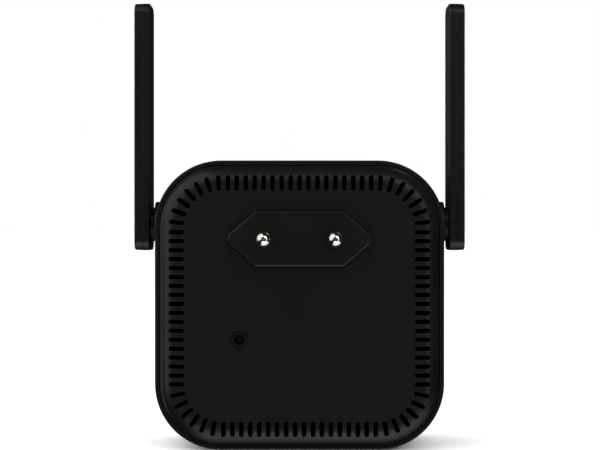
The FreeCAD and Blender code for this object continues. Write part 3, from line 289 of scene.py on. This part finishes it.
def make_floor():
    """A wide matt white paper floor, level with the case's base, that reflections leave out."""
    fibre_size = 1.5 * MM
    mesh = bmesh.new()
    bmesh.ops.create_grid(mesh, x_segments=FLOOR_SQUARES, y_segments=FLOOR_SQUARES, size=FLOOR_REACH)
    bmesh.ops.translate(mesh, verts=mesh.verts, vec=(0, 0, CASE_LOW.z))
    data = bpy.data.meshes.new("paper_floor")
    mesh.to_mesh(data)
    mesh.free()
    floor = bpy.data.objects.new("paper_floor", data)
    bpy.context.scene.collection.objects.link(floor)
    material, tree, shader, place = start_material("matt_white_paper")
    fibre = add(tree, "ShaderNodeTexNoise", {"Scale": 1 / fibre_size, "Detail": 2.0}, {"Vector": place})
    two_tones(tree, shader, fibre.outputs["Fac"], "#FBFBFB", "#FFFFFF")
    shader.inputs["Roughness"].default_value = 0.9
    shader.inputs["Specular IOR Level"].default_value = 0.0
    data.materials.append(material)
    floor.visible_glossy = False


def softbox(name, turn, tilt, half_angles, radiance):
    """A soft light one metre off, facing the case. `turn` is its direction round the plug's axis, in
    degrees from -X towards +Z; `tilt` is degrees away from that axis; `half_angles` is how far it
    reaches round and outwards, in degrees; `radiance` is its brightness, 1 being paper white."""
    round_by, out_by = math.radians(turn), math.radians(tilt)
    outward = Vector((-math.cos(round_by), 0, math.sin(round_by)))
    toward = Vector((0, math.cos(out_by), 0)) + outward * math.sin(out_by)
    radial = outward * math.cos(out_by) - Vector((0, math.sin(out_by), 0))
    width, height = (2 * math.tan(math.radians(angle)) for angle in half_angles)
    area = width * height * math.pi / 4
    data = bpy.data.lights.new(name, "AREA")
    data.shape = "ELLIPSE"
    data.size, data.size_y = width, height
    data.energy = radiance * math.pi * area
    light = bpy.data.objects.new(name, data)
    light.location = toward
    light.rotation_euler = Matrix((radial.cross(toward), radial, toward)).transposed().to_euler()
    light.visible_camera = False
    bpy.context.scene.collection.objects.link(light)


def make_lights():
    """Four soft boxes on the plug's side of the case, and two fainter ones on the other side."""
    softbox("left_box", 147, 72, (46, 38), 1.1)
    softbox("disc_box", 50, 44, (18, 18), 1.3)
    softbox("top_box", 90, 46, (32, 7), 1.3)
    softbox("right_box", 3, 46, (34, 7), 1.4)
    softbox("front_left_box", 165, 138, (36, 22), 0.32)
    softbox("front_right_box", 50, 132, (14, 14), 0.6)


def ramp(tree, value, ends, full=1.0):
    """A value that rises from 0 at the first end to `full` at the second, and stays there."""
    start, end = ends
    return add(tree, "ShaderNodeMapRange", {"From Min": start, "From Max": end, "To Max": full},
               {"Value": value}).outputs["Result"]


def make_room():
    """White to the eye and to matt surfaces. Glossy surfaces see a dim room with a bright low card."""
    world = bpy.data.worlds.new("studio_room")
    world.use_nodes = True
    tree = world.node_tree
    tree.nodes.clear()
    ray = add(tree, "ShaderNodeLightPath")
    way = add(tree, "ShaderNodeSeparateXYZ", links={0: add(tree, "ShaderNodeTexCoord").outputs["Generated"]})
    low_part = add(tree, "ShaderNodeMath", {"operation": "MULTIPLY"},
                   {0: ramp(tree, way.outputs["Z"], CARD_Z, CARD), 1: ramp(tree, way.outputs["Y"], CARD_Y)})
    card = add(tree, "ShaderNodeMath", {"operation": "MULTIPLY"},
               {0: low_part.outputs["Value"], 1: ramp(tree, way.outputs["X"], CARD_X)})
    glow = add(tree, "ShaderNodeMapRange",
               {"From Min": GLOW_Y[0], "From Max": GLOW_Y[1], "To Min": GLOSSY_ROOM, "To Max": GLOW},
               {"Value": way.outputs["Y"]})
    glossy = add(tree, "ShaderNodeMath", {"operation": "ADD"},
                 {0: glow.outputs["Result"], 1: card.outputs["Value"]})
    lit = add(tree, "ShaderNodeMix", {"data_type": "FLOAT", NUMBER_FROM: MATT_ROOM},
              {"Factor": ray.outputs["Is Glossy Ray"], NUMBER_TO: glossy.outputs["Value"]})
    seen = add(tree, "ShaderNodeMix", {"data_type": "FLOAT", NUMBER_TO: 1.0},
               {"Factor": ray.outputs["Is Camera Ray"], NUMBER_FROM: lit.outputs["Result"]})
    light = add(tree, "ShaderNodeBackground", {"Color": linear("#FFFFFF")},
                {"Strength": seen.outputs["Result"]})
    add(tree, "ShaderNodeOutputWorld", links={"Surface": light.outputs["Background"]})
    bpy.context.scene.world = world


def make_camera():
    """Looks square on at the back of the case, level with the hinges."""
    data = bpy.data.cameras.new("camera")
    data.sensor_width = SENSOR
    data.lens = LENS
    data.clip_start = 0.01
    data.clip_end = 50.0
    camera = bpy.data.objects.new("camera", data)
    case_middle = (CASE_LOW.z + CASE_HIGH.z) / 2
    camera.location = (CAMERA_ASIDE, COVER_BACK + CAMERA_BACK, case_middle + CAMERA_RISE)
    camera.rotation_euler = (math.radians(90), 0, math.radians(180))
    bpy.context.scene.collection.objects.link(camera)
    bpy.context.scene.camera = camera


make_floor()
make_lights()
make_room()
make_camera()
bpy.context.scene.view_settings.view_transform = "Standard"
